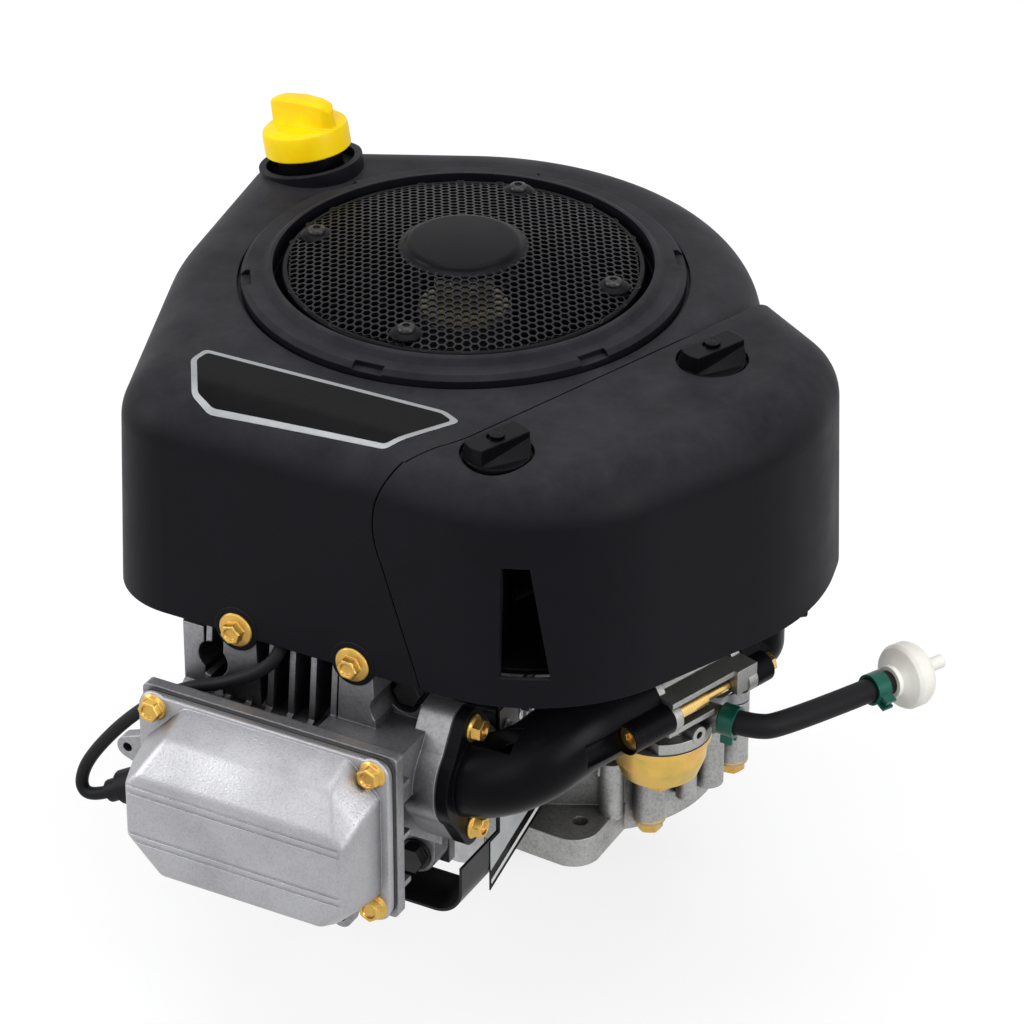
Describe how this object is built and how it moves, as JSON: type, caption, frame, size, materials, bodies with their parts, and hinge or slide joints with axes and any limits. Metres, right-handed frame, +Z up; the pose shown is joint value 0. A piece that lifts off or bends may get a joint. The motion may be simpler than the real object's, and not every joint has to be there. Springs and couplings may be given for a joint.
{
  "type": "small petrol engine",
  "caption": "Vertical-shaft air-cooled petrol engine with moulded cowl, rotating screen, finned head, carburettor, fuel hose and filler cap.",
  "frame": {"origin": "where the crankshaft axis meets the mounting face", "axes": "+Z up along the crankshaft, -Y towards the cylinder and valve cover, +X towards the carburettor"},
  "size_m": [0.4247, 0.404, 0.391],
  "materials": {
    "cast": "cast, satin",
    "gasket": "fibre",
    "gold": "yellow zinc plate",
    "brass": "turned",
    "steel": "machined",
    "bronze": "dull",
    "iron": "cast",
    "copper": "varnished winding",
    "black_paint": "semi-gloss black",
    "black_plastic": "satin",
    "charcoal": "fine-grained moulding",
    "rubber": "matt",
    "yellow": "semi-gloss",
    "zinc": "yellow zinc chromate",
    "green": "plated spring steel",
    "white": "translucent white",
    "paper": "pleated paper",
    "foam": "oiled foam"
  },
  "bodies": {
    "engine": {"sump": "cast", "crankcase": "cast", "cylinder_head": "cast", "valve_cover": "cast", "carburetor_body": "cast", "sump_gasket": "gasket", "head_gasket": "gasket", "valve_cover_gasket": "gasket", "manifold_gasket": "gasket", "bowl_gasket": "gasket", "sump_bolts": "gold", "valve_cover_bolts": "gold", "cowl_bolts": "gold", "manifold_bolts": "gold", "carburetor_studs": "brass", "head_bolts": "steel", "shield_bolts": "steel", "spark_plug": "steel", "drain_plug": "steel", "stator": "copper", "starter_motor": "black_paint", "ignition_coil": "black_plastic", "crank_seals": "rubber", "spark_plug_boot": "rubber", "spark_plug_lead": "rubber", "fuel_hose": "rubber", "blower_housing": "charcoal", "debris_ring": "charcoal", "air_cleaner_base": "black_plastic", "intake_manifold": "black_plastic", "carburetor_spacer": "black_plastic", "intake_elbow": "black_plastic", "oil_fill_tube": "black_plastic", "cylinder_shield": "black_paint", "float_bowl": "zinc", "bowl_nut": "gold", "hose_clamps": "green", "fuel_filter": "white", "air_filter": "paper", "pre_cleaner": "foam"},
    "rotor": {"crankshaft": "steel", "flywheel_key": "steel", "flywheel": "iron", "ring_gear": "steel", "fan": "black_plastic", "flywheel_nut": "bronze", "rotating_screen": "black_plastic", "screen_screws": "steel"},
    "filler_seal": {"oil_cap_seal": "rubber"},
    "filler_cap": {"oil_cap": "yellow", "dipstick": "steel"},
    "air_cover": {"air_cleaner_cover": "charcoal"},
    "front_knob": {"cover_knob_front": "black_plastic"},
    "rear_knob": {"cover_knob_rear": "black_plastic"},
    "throttle": {"throttle_shaft": "steel", "throttle_lever": "black_plastic"},
    "choke": {"choke_shaft": "steel", "choke_lever": "black_plastic"}
  },
  "joints": [
    {"name": "crank_spin", "type": "hinge", "parent": "engine", "child": "rotor", "pos_m": [0, 0, 0], "axis": [0, 0, 1], "continuous": true},
    {"name": "cap_lift", "type": "slide", "parent": "engine", "child": "filler_seal", "axis": [-0.1869, 0.037, 0.9817], "range_m": [0, 0.2]},
    {"name": "cap_turn", "type": "hinge", "parent": "filler_seal", "child": "filler_cap", "pos_m": [-0.13, 0.07, 0.27], "axis": [-0.1869, 0.037, 0.9817], "range_deg": [0, 90]},
    {"name": "cover_release", "type": "slide", "parent": "engine", "child": "air_cover", "axis": [0.8837, -0.3196, 0.342], "range_m": [0, 0.13]},
    {"name": "front_knob_turn", "type": "hinge", "parent": "air_cover", "child": "front_knob", "pos_m": [0.098, -0.1445, 0.268], "axis": [0, 0, 1], "range_deg": [0, 90]},
    {"name": "rear_knob_turn", "type": "hinge", "parent": "air_cover", "child": "rear_knob", "pos_m": [0.148, -0.016, 0.268], "axis": [0, 0, 1], "range_deg": [0, 90]},
    {"name": "throttle_turn", "type": "hinge", "parent": "engine", "child": "throttle", "pos_m": [0.14612, -0.07453, 0.11], "axis": [0, 0, 1], "range_deg": [0, 75]},
    {"name": "choke_turn", "type": "hinge", "parent": "engine", "child": "choke", "pos_m": [0.15665, -0.04115, 0.11], "axis": [0, 0, 1], "range_deg": [0, 75]}
  ]
}
